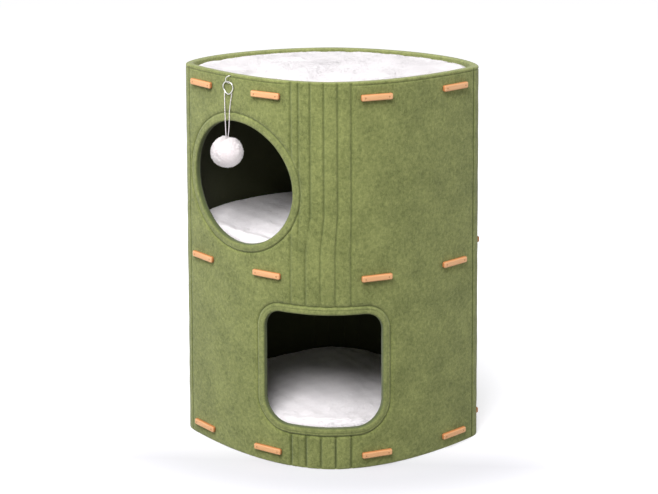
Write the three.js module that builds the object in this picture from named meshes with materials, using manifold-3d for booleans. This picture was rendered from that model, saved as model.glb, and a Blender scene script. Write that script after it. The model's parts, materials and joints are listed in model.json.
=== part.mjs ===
// Two-storey felt pet house: two curved felt panels round three shelf boards, a plush pad on
// each board, wooden fastening bars outside and a pompom on a doubled string.
// Millimetres, +Z up, the entrances face -Y. The origin is on the floor under the middle.
import * as THREE from "three";
import Module from "manifold-3d";

const wasm = await Module();
wasm.setup();

// Driving dimensions of the house
const height = 600;
const halfWidth = 235; // middle to the corner of the front curve, on the floor
const frontDepth = 141; // corner line to the front
const backDepth = 149.3; // corner line to the back
const frontPower = 1.85; // 2 would be a parabola
const backHalfWidth = 233;
const backPower = 1.75; // 2 would be an ellipse
const taper = 0.044; // share of the plan lost from the floor to the rim
const wallThickness = 10;
const seamX = 224.4; // where the back panel's wrapped edge meets the front panel
const cornerTurn = 15; // how far behind the corner line the turn ends
const seamGap = 0.3;
const touchGap = 0.3; // between pieces that touch
const cornerY = (frontDepth - backDepth) / 2;

// Pressed lines and edges
const lineWidth = 2.6;
const lineDepth = 1.5;
const seamChamfer = 1.6;
const rimRound = 2.5;
const hemRound = 1.5;
const stitchDrop = 5.2; // stitch line below the rim
const stitchWidth = 2.4;
const stitchDepth = 0.7;
const longestStep = 14; // between neighbouring columns of a curved piece
const sharpestStep = THREE.MathUtils.degToRad(6);

// The front's features are set out from a line a little left of the plan's middle.
const middleShift = -6.5;
const foldTop = 400; // above this the fold lines stand at their upper places
const foldLow = 345; // below this they stand at their lower places
const frontFolds = [
  { upper: -47.5, lower: -49 },
  { upper: -35, lower: -36.5 },
  { upper: -16.5, lower: -25 },
  { upper: 4.5, lower: -1.5 },
  { upper: 25.5, lower: 21.5 },
  { upper: 46.5, lower: 45.5 },
];
const backFolds = [-36, -11, 14, 39];
const roundEntrance = { middle: -143.9, z: 435.9, wide: 98.7, high: 93.3, lean: -1.8, border: 12.8 };
const doorway = {
  middle: 0.8,
  bottom: 66.4,
  top: 248,
  halfWidth: 95.5,
  topRadius: 29,
  bottomRadius: 42,
  border: 12.8,
};
const borderRise = 0.4;

// Shelves and pads
const boardThickness = 9;
const boardGap = 0.4;
const padGap = 1.4;
const levels = [
  { name: "bottom", z: 21.5, backBars: 30.5, backReach: 251 },
  { name: "middle", z: 304.5, backBars: 320, backReach: 251 },
  { name: "top", z: 577, backBars: 577, backReach: 236 },
];
const pads = {
  bottom: { edge: 57, crown: 6, rise: 0.085, cornerFall: 19.5, wave: 1 },
  middle: { edge: 53, crown: 4, rise: 0.085, cornerFall: 5, wave: 1 },
  top: { edge: 14, crown: 2, rise: 0, cornerFall: 1.5, wave: 0.7 },
};
const padReach = 100; // half-way point of the corner fall

// Wooden bars
const bar = { length: 48.4, height: 9.5, thickness: 5, corner: 2.8, bevel: 0.8 };
const frontBars = [-223, -88, 85.3, 228.5];
const innerBackBar = 92;

// Hanging loop, ring, string and pompom
const hangAlong = middleShift - 160.6;
const loop = { radius: 5.4, reach: 6.4, wire: 0.7, leg: 0.8, turn: 45, shift: 3, z: 591.6 };
const ring = { radius: 8.7, widen: 1.16, narrow: 0.2, point: 1.6, wire: 0.9, out: 2.1, z: 579.8 };
const stringDiameter = 1.6;
const pompom = { radius: 24.4, tuft: 1.5, wide: 1.03, high: 0.95 };
// Places below are from the ring's middle: along the wall, up, and out from the wall.
const pompomPlace = [-3.1, -98.5, 2.1];
const strings = {
  left: [
    [-7.5, -8.3, 0],
    [-7.2, -23, 0.6],
    [-6.3, -46, 1.2],
    [-4.6, -76, 1.9],
  ],
  right: [
    [7.6, -8.3, 0],
    [5, -21, 0.5],
    [2.9, -35, 0.9],
    [1.7, -59, 1.5],
    [-0.6, -76.1, 1.9],
  ],
};

const felt = { color: 0x85955a, roughness: 0.95, metalness: 0 };
const feltInside = { color: 0x5d6b3c, roughness: 0.95, metalness: 0 };
const plush = { color: 0xf1eff0, roughness: 1, metalness: 0 };
const wood = { color: 0xe9b184, roughness: 0.6, metalness: 0 };
const steel = { color: 0xd4d4d2, roughness: 0.3, metalness: 1 };
const yarn = { color: 0xf3f1ec, roughness: 0.9, metalness: 0 };

const house = new THREE.Group();

function addMesh(name, geometry, finish, parent = house) {
  geometry.computeVertexNormals();
  const mesh = new THREE.Mesh(geometry, new THREE.MeshStandardMaterial(finish));
  mesh.name = name;
  parent.add(mesh);
  return mesh;
}

function shrink(z) {
  return 1 - (taper * z) / height;
}

// A line of the plan on the floor, run anticlockwise seen from above, so that outwards is to
// its right. Lengths along it are counted from its middle.
class PlanLine {
  constructor(points, normals) {
    this.points = points;
    this.normals = normals;
    this.lengths = [0];
    for (let i = 1; i < points.length; i++) {
      this.lengths.push(this.lengths[i - 1] + points[i].distanceTo(points[i - 1]));
    }
    this.half = this.lengths.at(-1) / 2;
  }

  at(along) {
    const length = along + this.half;
    let i = this.lengths.findIndex((l) => l >= length);
    if (i < 0) i = this.lengths.length - 1;
    i = Math.max(i, 1);
    const share = (length - this.lengths[i - 1]) / (this.lengths[i] - this.lengths[i - 1]);
    const place = this.points[i - 1].clone().lerp(this.points[i], share);
    const normal = this.normals[i - 1].clone().lerp(this.normals[i], share).normalize();
    return { place, normal };
  }

  // A point of the wall: depth goes inwards from the outer face.
  wall(along, z, depth = 0) {
    const { place, normal } = this.at(along);
    const flat = place.addScaledVector(normal, -depth).multiplyScalar(shrink(z));
    return new THREE.Vector3(flat.x, cornerY + flat.y, z);
  }
}

function frontPoint(x) {
  const share = Math.pow(Math.abs(x) / halfWidth, frontPower);
  return new THREE.Vector2(x, -frontDepth * (1 - share));
}

function backPointAtX(x) {
  const share = Math.pow(Math.abs(x) / backHalfWidth, backPower);
  return new THREE.Vector2(x, backDepth * Math.pow(1 - share, 1 / backPower));
}

function backPointAtY(y) {
  const share = Math.pow(y / backDepth, backPower);
  return new THREE.Vector2(backHalfWidth * Math.pow(1 - share, 1 / backPower), y);
}

// Where the straight runs through two points meet.
function meeting(p, along, q, across) {
  const gap = new THREE.Vector2().subVectors(q, p);
  return p.clone().addScaledVector(along, gap.cross(across) / along.cross(across));
}

// The back panel's line from the seam on the front, round the corner and to the middle.
function rightHalfOfBack() {
  const step = 0.01;
  const start = frontPoint(seamX);
  const end = backPointAtY(cornerTurn);
  const before = frontPoint(seamX - step).sub(start);
  const after = backPointAtY(cornerTurn + step).sub(end);
  const corner = meeting(start, before, end, after);
  const points = new THREE.QuadraticBezierCurve(start, corner, end).getPoints(10);
  const steep = { step: 6, endY: 100 };
  const shallow = { step: 10, startX: 140 };
  for (let y = cornerTurn + steep.step; y < steep.endY; y += steep.step) points.push(backPointAtY(y));
  for (let x = shallow.startX; x > 0; x -= shallow.step) points.push(backPointAtX(x));
  return points;
}

// The front and back lines share their end points and normals at the two seams.
function makeLines() {
  const steps = 120;
  const front = [];
  for (let i = 0; i <= steps; i++) front.push(frontPoint(-seamX + (2 * seamX * i) / steps));
  const right = rightHalfOfBack().slice(1);
  const left = right.map((p) => new THREE.Vector2(-p.x, p.y)).reverse();
  const loop = [...front, ...right, backPointAtX(0), ...left];
  const normals = loop.map((p, i) => {
    const run = new THREE.Vector2().subVectors(loop[(i + 1) % loop.length], loop.at(i - 1));
    return new THREE.Vector2(run.y, -run.x).normalize();
  });
  const cut = (list) => [list.slice(0, steps + 1), [...list.slice(steps), list[0]]];
  const [frontPoints, backPoints] = cut(loop);
  const [frontNormals, backNormals] = cut(normals);
  return [new PlanLine(frontPoints, frontNormals), new PlanLine(backPoints, backNormals)];
}

const [frontLine, backLine] = makeLines();

// A closed solid from an indexed list of points and faces, as a manifold.
function solidOf(points, faces) {
  const vertProperties = new Float32Array(points.flatMap((p) => [p.x, p.y, p.z]));
  const triVerts = new Uint32Array(faces.flat());
  return new wasm.Manifold(new wasm.Mesh({ numProp: 3, vertProperties, triVerts }));
}

function geometryOf(solid) {
  const mesh = solid.getMesh();
  const geometry = new THREE.BufferGeometry();
  geometry.setAttribute("position", new THREE.BufferAttribute(mesh.vertProperties, 3));
  geometry.setIndex(new THREE.BufferAttribute(mesh.triVerts, 1));
  return geometry;
}

// The wall's section, once round: up the outer face, over the rim and down the inner face.
// Share says how much of a column's pressed line the row takes.
function sectionRows() {
  const stitch = height - stitchDrop;
  const bend = 0.3;
  return [
    { z: 0, depth: hemRound, share: 0 },
    { z: hemRound, depth: 0, share: 1 },
    { z: foldLow, depth: 0, share: 1 },
    { z: foldTop, depth: 0, share: 1 },
    { z: stitch - stitchWidth / 2, depth: 0, share: 1 },
    { z: stitch, depth: 0, share: 1, stitched: true },
    { z: stitch + stitchWidth / 2, depth: 0, share: 1 },
    { z: height - rimRound, depth: 0, share: 0.6 },
    { z: height - bend * rimRound, depth: bend * rimRound, share: 0 },
    { z: height, depth: rimRound, share: 0 },
    { z: height, depth: wallThickness - rimRound, share: 0 },
    { z: height - bend * rimRound, depth: wallThickness - bend * rimRound, share: 0 },
    { z: height - rimRound, depth: wallThickness, share: 0, inner: true },
    { z: hemRound, depth: wallThickness, share: 0, inner: true },
    { z: 0, depth: wallThickness - hemRound, share: 0 },
  ];
}

// A column stands at its lower place on the floor and at its upper place under the rim.
function columnAlong(column, z) {
  const share = THREE.MathUtils.clamp((z - foldLow) / (foldTop - foldLow), 0, 1);
  return column.lower + (column.upper - column.lower) * share;
}

function makePanel(line, columns) {
  const rows = sectionRows();
  const points = [];
  const depthAt = (column, row) => {
    let depth = row.depth + column.press * row.share;
    if (row.stitched) depth = Math.max(depth, stitchDepth * column.stitch);
    if (row.inner) depth -= column.innerPress;
    return depth;
  };
  for (const column of columns) {
    for (const row of rows) {
      points.push(line.wall(columnAlong(column, row.z), row.z, depthAt(column, row)));
    }
  }
  const faces = [];
  const at = (i, j) => i * rows.length + (j % rows.length);
  for (let i = 0; i + 1 < columns.length; i++) {
    for (let j = 0; j < rows.length; j++) {
      faces.push([at(i, j), at(i + 1, j), at(i + 1, j + 1)]);
      faces.push([at(i, j), at(i + 1, j + 1), at(i, j + 1)]);
    }
  }
  for (const [i, reverse] of [[0, false], [columns.length - 1, true]]) {
    const outline = rows.map((row) => new THREE.Vector2(-depthAt(columns[i], row), row.z));
    for (const [a, b, c] of THREE.ShapeUtils.triangulateShape(outline, [])) {
      faces.push(reverse ? [at(i, a), at(i, c), at(i, b)] : [at(i, a), at(i, b), at(i, c)]);
    }
  }
  return solidOf(points, faces);
}

function plainColumn(upper, lower = upper, stitch = 1) {
  return { upper, lower, press: 0, innerPress: 0, stitch };
}

// Three columns that make one pressed line.
function foldColumns(fold, innerPress, stitch) {
  const half = lineWidth / 2;
  return [-half, 0, half].map((off) => ({
    upper: fold.upper + off,
    lower: fold.lower + off,
    press: off ? 0 : lineDepth,
    innerPress: off ? 0 : innerPress,
    stitch,
  }));
}

// Places between two ends of a line, closer together where it turns.
function stations(line, from, to, coarse = 1) {
  const places = [];
  const tick = 1;
  let last = from;
  for (let along = from + tick; along < to; along += tick) {
    const turn = line.at(along).normal.angleTo(line.at(last).normal);
    if (turn > coarse * sharpestStep || along - last > coarse * longestStep) {
      places.push(along);
      last = along;
    }
  }
  if (to - last < 2 * tick) places.pop();
  return places;
}

function evenColumns(line, from, to) {
  return stations(line, from, to).map((along) => plainColumn(along));
}

// Columns from seam to seam: chamfered ends, even columns and the pressed fold lines.
function panelColumns(line, folds, innerPress, stitchInMiddle) {
  const end = line.half - seamGap / 2;
  const edge = end - seamChamfer;
  const first = folds[0];
  const last = folds.at(-1);
  const columns = [{ ...plainColumn(-end), press: seamChamfer }, plainColumn(-edge)];
  columns.push(...evenColumns(line, -edge, first.upper - lineWidth / 2));
  folds.forEach((fold, i) => {
    columns.push(...foldColumns(fold, innerPress, stitchInMiddle));
    const next = folds[i + 1];
    if (next) {
      const upper = (fold.upper + next.upper) / 2;
      const lower = (fold.lower + next.lower) / 2;
      columns.push(plainColumn(upper, lower, stitchInMiddle));
    }
  });
  columns.push(...evenColumns(line, last.upper + lineWidth / 2, edge));
  columns.push(plainColumn(edge), { ...plainColumn(end), press: seamChamfer });
  return columns;
}

// Outlines on the unrolled front, x along the wall and y up, grown outwards by an offset.
function roundOutline(offset, steps = 44) {
  const { middle, z, wide, high, lean } = roundEntrance;
  return Array.from({ length: steps }, (_, i) => {
    const angle = (2 * Math.PI * i) / steps;
    const x = (wide + offset) * Math.cos(angle) + lean * Math.sin(angle);
    const y = (high + offset) * Math.sin(angle) + lean * Math.cos(angle);
    return new THREE.Vector2(middleShift + middle + x, z + y);
  });
}

function doorwayOutline(offset) {
  const middle = middleShift + doorway.middle;
  const left = middle - doorway.halfWidth - offset;
  const right = middle + doorway.halfWidth + offset;
  const low = doorway.bottom - offset;
  const high = doorway.top + offset;
  const lowRadius = doorway.bottomRadius + offset;
  const highRadius = doorway.topRadius + offset;
  const corners = [
    { x: right - lowRadius, y: low + lowRadius, radius: lowRadius, from: -0.5 },
    { x: right - highRadius, y: high - highRadius, radius: highRadius, from: 0 },
    { x: left + highRadius, y: high - highRadius, radius: highRadius, from: 0.5 },
    { x: left + lowRadius, y: low + lowRadius, radius: lowRadius, from: 1 },
  ];
  const turnSteps = 5;
  const sideSteps = 5;
  const points = [];
  corners.forEach((corner, n) => {
    for (let i = 0; i <= turnSteps; i++) {
      const angle = Math.PI * (corner.from + (0.5 * i) / turnSteps);
      const x = corner.x + corner.radius * Math.cos(angle);
      points.push(new THREE.Vector2(x, corner.y + corner.radius * Math.sin(angle)));
    }
    const next = corners[(n + 1) % corners.length];
    const turn = Math.PI * next.from;
    const begin = points.at(-1);
    const finish = new THREE.Vector2(
      next.x + next.radius * Math.cos(turn),
      next.y + next.radius * Math.sin(turn),
    );
    for (let i = 1; i < sideSteps; i++) points.push(begin.clone().lerp(finish, i / sideSteps));
  });
  return points;
}

// A ring on the front wall: the section's corners give how far out of the outline and how deep
// in the wall each runs.
function ringOnWall(outlineAt, section) {
  const outlines = section.map((corner) => outlineAt(corner.offset));
  const count = outlines[0].length;
  const points = [];
  for (let i = 0; i < count; i++) {
    section.forEach((corner, k) => {
      const p = outlines[k][i];
      points.push(frontLine.wall(p.x, p.y, corner.depth));
    });
  }
  const faces = [];
  const at = (i, k) => (i % count) * section.length + (k % section.length);
  for (let i = 0; i < count; i++) {
    for (let k = 0; k < section.length; k++) {
      faces.push([at(i, k), at(i + 1, k), at(i + 1, k + 1)]);
      faces.push([at(i, k), at(i + 1, k + 1), at(i, k + 1)]);
    }
  }
  return solidOf(points, faces);
}

// A plug through the front wall, to cut an opening with.
function plugThroughWall(outline, outside, inside) {
  const count = outline.length;
  const points = [outside, wallThickness + inside].flatMap((depth) =>
    outline.map((p) => frontLine.wall(p.x, p.y, depth)),
  );
  const faces = [];
  for (let i = 0; i < count; i++) {
    const next = (i + 1) % count;
    faces.push([i, count + i, count + next], [i, count + next, next]);
  }
  for (const [a, b, c] of THREE.ShapeUtils.triangulateShape(outline, [])) {
    faces.push([a, b, c], [count + a, count + c, count + b]);
  }
  return solidOf(points, faces);
}

// Raises the border round an opening, cuts the opening and presses the line round the border.
function cutEntrance(panel, outlineAt, border) {
  const lip = 2; // how far the raised ring runs into the opening before it is cut
  const root = wallThickness - 1; // depth of the ring's back in the wall
  const raised = ringOnWall(outlineAt, [
    { offset: -lip, depth: -borderRise },
    { offset: -lip, depth: root },
    { offset: border, depth: root },
    { offset: border, depth: -borderRise },
  ]);
  const wedge = { top: -0.9, half: lineWidth * 0.75 };
  const line = ringOnWall(outlineAt, [
    { offset: border - wedge.half, depth: wedge.top },
    { offset: border, depth: lineDepth },
    { offset: border + wedge.half, depth: wedge.top },
  ]);
  const reach = { outside: -35, inside: 8 }; // the plug's ends, flat against the curved wall
  const plug = plugThroughWall(outlineAt(0), reach.outside, reach.inside);
  return panel.add(raised).subtract(plug).subtract(line);
}

function makeFrontPanel() {
  const folds = frontFolds.map((fold) => ({
    upper: fold.upper + middleShift,
    lower: fold.lower + middleShift,
  }));
  let panel = makePanel(frontLine, panelColumns(frontLine, folds, 0, 0.4));
  panel = cutEntrance(panel, roundOutline, roundEntrance.border);
  return cutEntrance(panel, doorwayOutline, doorway.border);
}

function makeBackPanel() {
  const folds = backFolds.map((x) => ({ upper: x, lower: x }));
  return makePanel(backLine, panelColumns(backLine, folds, lineDepth * 0.6, 1));
}

// The inner outline of the house at a level, drawn in by a gap.
function innerOutline(z, gap, coarse) {
  const outline = [];
  for (const line of [frontLine, backLine]) {
    for (const along of stations(line, -line.half, line.half, coarse)) {
      const p = line.wall(along, z, wallThickness + gap);
      outline.push(new THREE.Vector2(p.x, p.y));
    }
  }
  return outline;
}

function addBoard(level) {
  const top = level.z + boardThickness / 2;
  const shape = new THREE.Shape(innerOutline(top, boardGap, 1));
  const options = { depth: boardThickness, bevelEnabled: false };
  const mesh = addMesh(
    `${level.name}_board`,
    new THREE.ExtrudeGeometry(shape, options),
    feltInside,
  );
  mesh.position.z = top - boardThickness;
}

// A filled pad: flat underneath, sides drawn in at both seams, a crowned and slightly wavy top
// that falls towards the two corners of the house.
function addPad(level) {
  const pad = pads[level.name];
  const base = level.z + boardThickness / 2 + touchGap;
  const outline = innerOutline(base + pad.edge + pad.crown, padGap, 1.6);
  const rings = [
    { share: 0.5, rise: 0 },
    { share: 0.93, rise: 0 },
    { share: 0.98, rise: 0.13 },
    { share: 1, rise: 0.45 },
    { share: 0.99, rise: 0.8 },
    { share: 0.955, rise: 0.97 },
    { share: 0.87, rise: 1 },
    { share: 0.68, rise: 1 },
    { share: 0.42, rise: 1 },
  ];
  const topAt = (x, y, rise, share) => {
    const fall = (pad.cornerFall * x * x) / (x * x + padReach * padReach);
    const wave = pad.wave * Math.sin(x / 21 + y / 34) * Math.cos(y / 27 - x / 60);
    const crown = pad.crown * (1 - share * share);
    return rise * (pad.edge + pad.rise * y - fall) + (rise === 1 ? crown + wave : 0);
  };
  const points = [];
  for (const ring of rings) {
    for (const p of outline) {
      const x = p.x * ring.share;
      const y = cornerY + (p.y - cornerY) * ring.share;
      points.push(new THREE.Vector3(x, y, base + topAt(x, y, ring.rise, ring.share)));
    }
  }
  const count = outline.length;
  const under = points.push(new THREE.Vector3(0, 0, base)) - 1;
  const crest = points.push(new THREE.Vector3(0, 0, base + topAt(0, 0, 1, 0))) - 1;
  const faces = [];
  const last = (rings.length - 1) * count;
  for (let i = 0; i < count; i++) {
    const next = (i + 1) % count;
    for (let k = 0; k + 1 < rings.length; k++) {
      const low = k * count;
      const high = low + count;
      faces.push([low + i, low + next, high + next], [low + i, high + next, high + i]);
    }
    faces.push([under, next, i], [crest, last + i, last + next]);
  }
  addMesh(`${level.name}_pad`, geometryOf(solidOf(points, faces)), plush);
}

function barGeometry() {
  const x = bar.length / 2 - bar.bevel;
  const y = bar.height / 2 - bar.bevel;
  const r = bar.corner;
  const shape = new THREE.Shape()
    .absarc(x - r, y - r, r, 0, Math.PI / 2)
    .absarc(r - x, y - r, r, Math.PI / 2, Math.PI)
    .absarc(r - x, r - y, r, Math.PI, 1.5 * Math.PI)
    .absarc(x - r, r - y, r, 1.5 * Math.PI, 2 * Math.PI);
  const geometry = new THREE.ExtrudeGeometry(shape, {
    depth: bar.thickness - 2 * bar.bevel,
    bevelThickness: bar.bevel,
    bevelSize: bar.bevel,
    bevelSegments: 1,
    curveSegments: 2,
  });
  return geometry.translate(0, 0, bar.bevel - bar.thickness / 2);
}

// A bar lies flat against the wall, its length level and its middle touching the felt.
function addBar(name, line, along, z) {
  const clear = touchGap + bar.thickness / 2;
  const mesh = addMesh(name, barGeometry(), wood);
  const outwards = new THREE.Vector3()
    .subVectors(line.wall(along, z, -1), line.wall(along, z, 0))
    .normalize();
  const up = new THREE.Vector3(0, 0, 1);
  const level = new THREE.Vector3().crossVectors(up, outwards);
  mesh.position.copy(line.wall(along, z, -clear));
  mesh.setRotationFromMatrix(new THREE.Matrix4().makeBasis(level, up, outwards));
}

function addBars(level) {
  frontBars.forEach((along, i) => {
    addBar(`${level.name}_front_bar_${i + 1}`, frontLine, along + middleShift, level.z);
  });
  const back = [-level.backReach, -innerBackBar, innerBackBar, level.backReach];
  back.forEach((along, i) => {
    addBar(`${level.name}_back_bar_${i + 1}`, backLine, along, level.backBars);
  });
}

// A frame on the wall at the hanging loop: x along the wall, y up, z outwards.
function hangFrame(z, out) {
  const group = new THREE.Group();
  const { normal } = frontLine.at(hangAlong);
  const outwards = new THREE.Vector3(normal.x, normal.y, 0);
  const up = new THREE.Vector3(0, 0, 1);
  const level = new THREE.Vector3().crossVectors(up, outwards);
  group.position.copy(frontLine.wall(hangAlong, z, -out));
  group.setRotationFromMatrix(new THREE.Matrix4().makeBasis(level, up, outwards));
  house.add(group);
  return group;
}

function roundSection(radius, sides) {
  const around = new THREE.Path().absarc(0, 0, radius, 0, 2 * Math.PI);
  return new THREE.Shape(around.getSpacedPoints(sides).slice(0, -1));
}

// A wire loop that stands out from the wall, turned to one side, its two legs ending at the felt.
function addLoop() {
  const route = [new THREE.Vector3(loop.shift, -loop.radius, touchGap)];
  const steps = 12;
  const turn = THREE.MathUtils.degToRad(loop.turn);
  for (let i = 0; i <= steps; i++) {
    const angle = Math.PI * (i / steps - 0.5);
    const out = loop.reach * Math.cos(angle);
    const x = loop.shift - out * Math.sin(turn);
    const z = touchGap + loop.leg + out * Math.cos(turn);
    route.push(new THREE.Vector3(x, loop.radius * Math.sin(angle), z));
  }
  route.push(new THREE.Vector3(loop.shift, loop.radius, touchGap));
  const extrudePath = new THREE.CatmullRomCurve3(route);
  const options = { steps: 24, extrudePath };
  const geometry = new THREE.ExtrudeGeometry(roundSection(loop.wire, 8), options);
  addMesh("hanging_loop", geometry, steel, hangFrame(loop.z, 0));
}

// A ring wider than high, its lower half drawn in to a blunt point.
function addRing(frame) {
  const geometry = new THREE.TorusGeometry(ring.radius, ring.wire, 6, 32);
  const position = geometry.getAttribute("position");
  const v = new THREE.Vector3();
  for (let i = 0; i < position.count; i++) {
    v.fromBufferAttribute(position, i);
    const down = Math.max(0, -v.y / Math.hypot(v.x, v.y));
    const x = v.x * ring.widen * (1 - ring.narrow * down * down);
    position.setXY(i, x, v.y - ring.point * Math.pow(down, 3));
  }
  addMesh("pear_ring", geometry, steel, frame);
}

// One strand of the doubled string, from the ring's lower arm to the top of the pompom.
function addString(side, frame) {
  const section = roundSection(stringDiameter / 2, 8);
  const route = strings[side].map((place) => new THREE.Vector3(...place));
  const extrudePath = new THREE.CatmullRomCurve3(route);
  const geometry = new THREE.ExtrudeGeometry(section, { steps: 16, extrudePath });
  addMesh(`string_${side}`, geometry, yarn, frame);
}

// A ball of clipped yarn: each facet of a round core is drawn out into a short tuft.
function addPompom(frame) {
  const core = new THREE.IcosahedronGeometry(pompom.radius - pompom.tuft, 2);
  const position = core.getAttribute("position");
  const tips = [];
  const corner = [0, 1, 2].map(() => new THREE.Vector3());
  for (let i = 0; i < position.count; i += 3) {
    corner.forEach((v, k) => v.fromBufferAttribute(position, i + k));
    const tip = new THREE.Vector3().add(corner[0]).add(corner[1]).add(corner[2]);
    const lumpy = Math.sin(i * 1.7) * 0.5;
    tip.setLength(pompom.radius + lumpy);
    for (let k = 0; k < 3; k++) tips.push(corner[k].clone(), corner[(k + 1) % 3].clone(), tip);
  }
  const geometry = new THREE.BufferGeometry().setFromPoints(tips);
  geometry.scale(pompom.wide, pompom.high, pompom.wide);
  const mesh = addMesh("pompom", geometry, yarn, frame);
  mesh.position.set(...pompomPlace);
}

addMesh("front_panel", geometryOf(makeFrontPanel()), felt);
addMesh("back_panel", geometryOf(makeBackPanel()), felt);
for (const level of levels) {
  addBoard(level);
  addPad(level);
  addBars(level);
}
addLoop();
const hanging = hangFrame(ring.z, ring.out);
addRing(hanging);
addString("left", hanging);
addString("right", hanging);
addPompom(hanging);

export default house;
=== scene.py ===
import json
import math

import bmesh
import bpy
import numpy as np
from mathutils import Matrix, Vector
from mathutils.geometry import delaunay_2d_cdt
from mathutils.kdtree import KDTree

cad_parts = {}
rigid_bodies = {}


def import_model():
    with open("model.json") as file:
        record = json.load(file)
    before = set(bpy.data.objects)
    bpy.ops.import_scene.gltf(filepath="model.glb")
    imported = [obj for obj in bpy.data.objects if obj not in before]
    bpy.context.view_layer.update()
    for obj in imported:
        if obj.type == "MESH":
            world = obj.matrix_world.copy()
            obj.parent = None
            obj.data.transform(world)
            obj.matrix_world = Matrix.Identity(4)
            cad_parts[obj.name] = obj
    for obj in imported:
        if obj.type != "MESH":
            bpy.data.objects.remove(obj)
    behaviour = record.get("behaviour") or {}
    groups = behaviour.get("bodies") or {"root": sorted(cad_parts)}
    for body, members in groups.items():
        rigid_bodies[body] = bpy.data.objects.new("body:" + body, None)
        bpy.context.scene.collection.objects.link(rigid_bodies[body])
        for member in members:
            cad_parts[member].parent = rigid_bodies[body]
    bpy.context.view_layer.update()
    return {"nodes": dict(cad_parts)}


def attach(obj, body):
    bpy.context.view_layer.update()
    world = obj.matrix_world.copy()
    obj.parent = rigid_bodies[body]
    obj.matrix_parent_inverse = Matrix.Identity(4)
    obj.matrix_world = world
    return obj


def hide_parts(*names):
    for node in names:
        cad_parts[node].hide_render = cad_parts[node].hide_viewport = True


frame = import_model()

scene = bpy.context.scene
mm = 0.001

# Sizes of the wall in millimetres. Its two plan lines run anticlockwise seen from above.
house = {
    "height": 600,
    "halfWidth": 235,
    "frontDepth": 141,
    "backDepth": 149.3,
    "frontPower": 1.85,
    "backHalfWidth": 233,
    "backPower": 1.75,
    "taper": 0.044,
    "wall": 10,
    "seamX": 224.4,
    "cornerTurn": 15,
    "seamGap": 0.3,
    "middleShift": -6.5,
}
cornerY = (house["frontDepth"] - house["backDepth"]) / 2


def unit(rows):
    return rows / np.linalg.norm(rows, axis=1)[:, None]


def runLengths(points):  # how far along the line each point lies
    return np.concatenate([[0], np.cumsum(np.linalg.norm(np.diff(points, axis=0), axis=1))])


def sampled(values, lengths, at):
    return np.column_stack([np.interp(at, lengths, column) for column in values.T])


def frontPoint(x):
    share = (abs(x) / house["halfWidth"]) ** house["frontPower"]
    return np.array([x, -house["frontDepth"] * (1 - share)])


def backPointAtX(x):
    power = house["backPower"]
    share = (abs(x) / house["backHalfWidth"]) ** power
    return np.array([x, house["backDepth"] * (1 - share) ** (1 / power)])


def backPointAtY(y):
    power = house["backPower"]
    share = (y / house["backDepth"]) ** power
    return np.array([house["backHalfWidth"] * (1 - share) ** (1 / power), y])


def rightHalfOfBack():
    step = 0.01
    start, end = frontPoint(house["seamX"]), backPointAtY(house["cornerTurn"])
    before = frontPoint(house["seamX"] - step) - start
    after = backPointAtY(house["cornerTurn"] + step) - end
    gap = end - start
    reach = (gap[0] * after[1] - gap[1] * after[0]) / (before[0] * after[1] - before[1] * after[0])
    corner = start + before * reach
    t = np.linspace(0, 1, 25)[:, None]
    turn = (1 - t) ** 2 * start + 2 * t * (1 - t) * corner + t**2 * end
    steep = [backPointAtY(y) for y in np.arange(house["cornerTurn"] + 4, 100, 4)]
    shallow = [backPointAtX(x) for x in np.arange(150, 0, -5)]
    return np.vstack([turn, steep, shallow])


def makeLines():  # the two lines of the plan share points and normals at the seams
    xs = np.linspace(-house["seamX"], house["seamX"], 241)
    front = np.array([frontPoint(x) for x in xs])
    right = rightHalfOfBack()[1:]
    left = (right * [-1, 1])[::-1]
    loop = np.vstack([front, right, [backPointAtX(0)], left])
    run = np.roll(loop, -1, axis=0) - np.roll(loop, 1, axis=0)
    normals = unit(np.column_stack([run[:, 1], -run[:, 0]]))
    around = np.append(np.arange(len(loop)), 0)
    lines = []
    for part in (around[:241], around[240:]):
        lengths = runLengths(loop[part])
        lines.append({"points": loop[part], "normals": normals[part], "lengths": lengths,
                      "half": lengths[-1] / 2})
    return lines


frontLine, backLine = makeLines()


def shrink(z):
    return 1 - house["taper"] * z / house["height"]


def wallPoints(line, along, z, depth):  # places on the wall, in metres; depth goes inwards
    at = np.asarray(along, float) + line["half"]
    spot, out = (sampled(line[kind], line["lengths"], at).T for kind in ("points", "normals"))
    x, y = (spot - out / np.hypot(*out) * depth) * shrink(z)
    return np.column_stack([x, cornerY + y, z + 0 * x]) * mm


def placeOnWall(places, line, along, z, out):  # along the wall, up and outwards, from a spot on it
    outward = sampled(line["normals"], line["lengths"], along + line["half"])[0]
    outward = np.array(Vector([*outward, 0]).normalized())
    origin = wallPoints(line, [along], z, -out)[0]
    axes = [np.cross([0, 0, 1], outward), [0, 0, 1], outward]
    return origin + np.asarray(places, float) * mm @ axes


print("plan laid out: front", round(frontLine["half"] * 2), "mm, back", round(backLine["half"] * 2), "mm")

# Camera
camera = {
    "place": (0.1520, -2.2604, 1.0476),
    "pitch": 15.79,
    "turn": 3.95,
    "roll": -0.22,
    "lens": 83.42,
    "shiftUp": -0.0912,
}


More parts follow.
